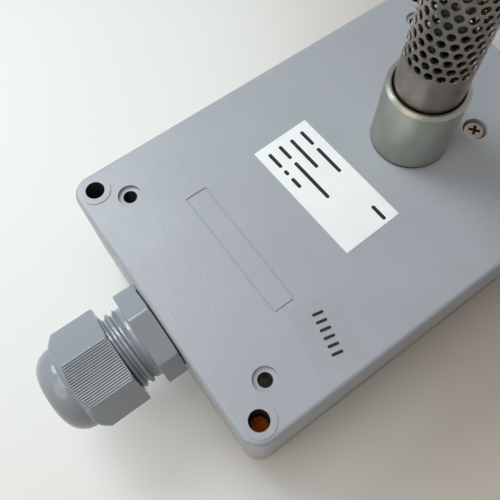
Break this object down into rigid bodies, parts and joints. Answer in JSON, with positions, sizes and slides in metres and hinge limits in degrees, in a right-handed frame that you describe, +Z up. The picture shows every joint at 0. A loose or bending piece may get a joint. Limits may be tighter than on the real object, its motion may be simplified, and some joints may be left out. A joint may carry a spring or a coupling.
{
  "type": "temperature humidity transmitter",
  "caption": "Temperature and humidity transmitter: moulded case with a clear lid, a perforated filter probe standing on its rear face and a cable gland on its end wall.",
  "frame": {"origin": "centre of the lid's front face, on which the case lies", "axes": "+Z up along the probe, out of the rear face; +X along the case, away from the cable gland; +Y across the case"},
  "size_m": [0.151, 0.08, 0.1185],
  "materials": {
    "case_plastic": "fine matt grain",
    "clear_plastic": "clear and smooth",
    "gland_plastic": "smooth satin",
    "sleeve_metal": "satin",
    "tube_steel": "satin",
    "screw_steel": "satin",
    "screw_brass": "dull",
    "seal_rubber": "matt",
    "board_laminate": "smooth varnish",
    "white_plastic": "matt",
    "black_plastic": "matt",
    "terminal_plastic": "satin",
    "label_paper": "matt",
    "sticker_film": "clear and smooth"
  },
  "bodies": {
    "housing": {"housing_base": "case_plastic", "housing_lid": "clear_plastic", "lid_seal": "seal_rubber", "lid_screws": "screw_brass", "rear_screws": "screw_steel", "probe_sleeve": "sleeve_metal", "sleeve_nut": "sleeve_metal", "filter_tube": "tube_steel", "filter_cap": "tube_steel", "sensor_carrier": "board_laminate", "humidity_sensor": "white_plastic", "temperature_sensor": "black_plastic", "sensor_socket": "black_plastic", "main_board": "board_laminate", "board_spacers": "screw_brass", "board_screws": "screw_steel", "terminal_block": "terminal_plastic", "terminal_screws": "screw_steel", "capacitors": "black_plastic", "circuit_chips": "black_plastic", "gland_washer": "seal_rubber", "gland_body": "gland_plastic", "gland_locknut": "gland_plastic", "rating_label": "label_paper", "clear_sticker": "sticker_film"},
    "gland_clamp": {"gland_claw": "gland_plastic", "gland_seal": "seal_rubber"},
    "gland_cap": {"gland_nut": "gland_plastic"}
  },
  "joints": [
    {"name": "gland_advance", "type": "slide", "parent": "housing", "child": "gland_clamp", "axis": [1, 0, 0], "range_m": [-0.003, 0.005]},
    {"name": "gland_turn", "type": "hinge", "parent": "gland_clamp", "child": "gland_cap", "pos_m": [-0.082, 0.0003, 0.0284], "axis": [1, 0, 0], "range_deg": [-540, 900]}
  ],
  "couplings": [
    {"joint": "gland_advance", "follows": "gland_turn", "m_per_rad": 0.0003183}
  ]
}
